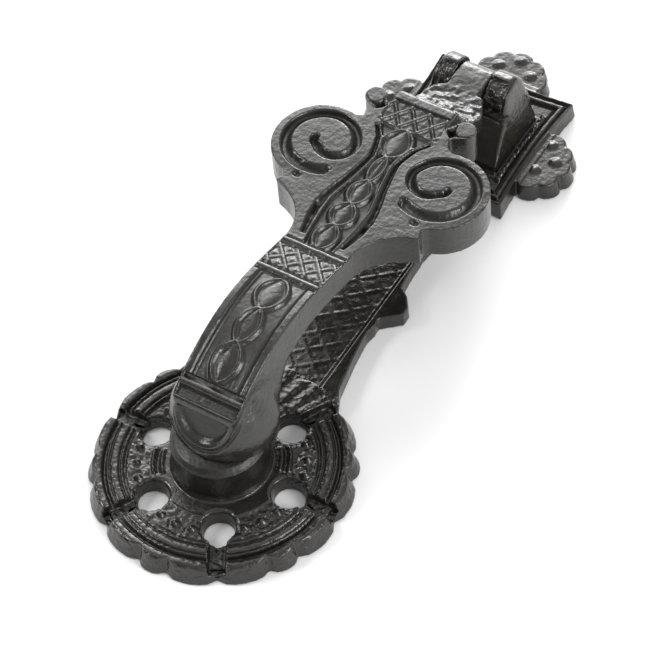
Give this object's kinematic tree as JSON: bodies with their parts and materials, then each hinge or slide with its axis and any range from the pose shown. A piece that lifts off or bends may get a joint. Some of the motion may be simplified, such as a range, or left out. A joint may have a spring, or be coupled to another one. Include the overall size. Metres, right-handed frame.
{
  "type": "door knocker",
  "caption": "Hinged black cast-iron door knocker: pierced rosette with a striker boss, narrow neck, square hinge plate with ears, and a bowed hammer arm with a scroll head.",
  "frame": {"origin": "on the flat back face, under the middle of the striker boss", "axes": "+Z out of the door, +Y from the striker towards the hinge, +X to the right when the hinge is at the top; the knocker lies on its back"},
  "size_m": [0.0744, 0.2118, 0.0444],
  "materials": {
    "black_iron": "satin-gloss black lacquer over rough-cast iron",
    "arm_iron": "satin-gloss black lacquer over cast iron with smooth sides",
    "pin_steel": "rough forged ends under black lacquer"
  },
  "bodies": {
    "plate": {"back_plate": "black_iron", "hinge_pin": "pin_steel"},
    "arm": {"knocker_arm": "arm_iron"}
  },
  "joints": [
    {"name": "arm_hinge", "type": "hinge", "parent": "plate", "child": "arm", "pos_m": [0, 0.1414, 0.0205], "axis": [-1, 0, 0], "range_deg": [0, 100]}
  ]
}
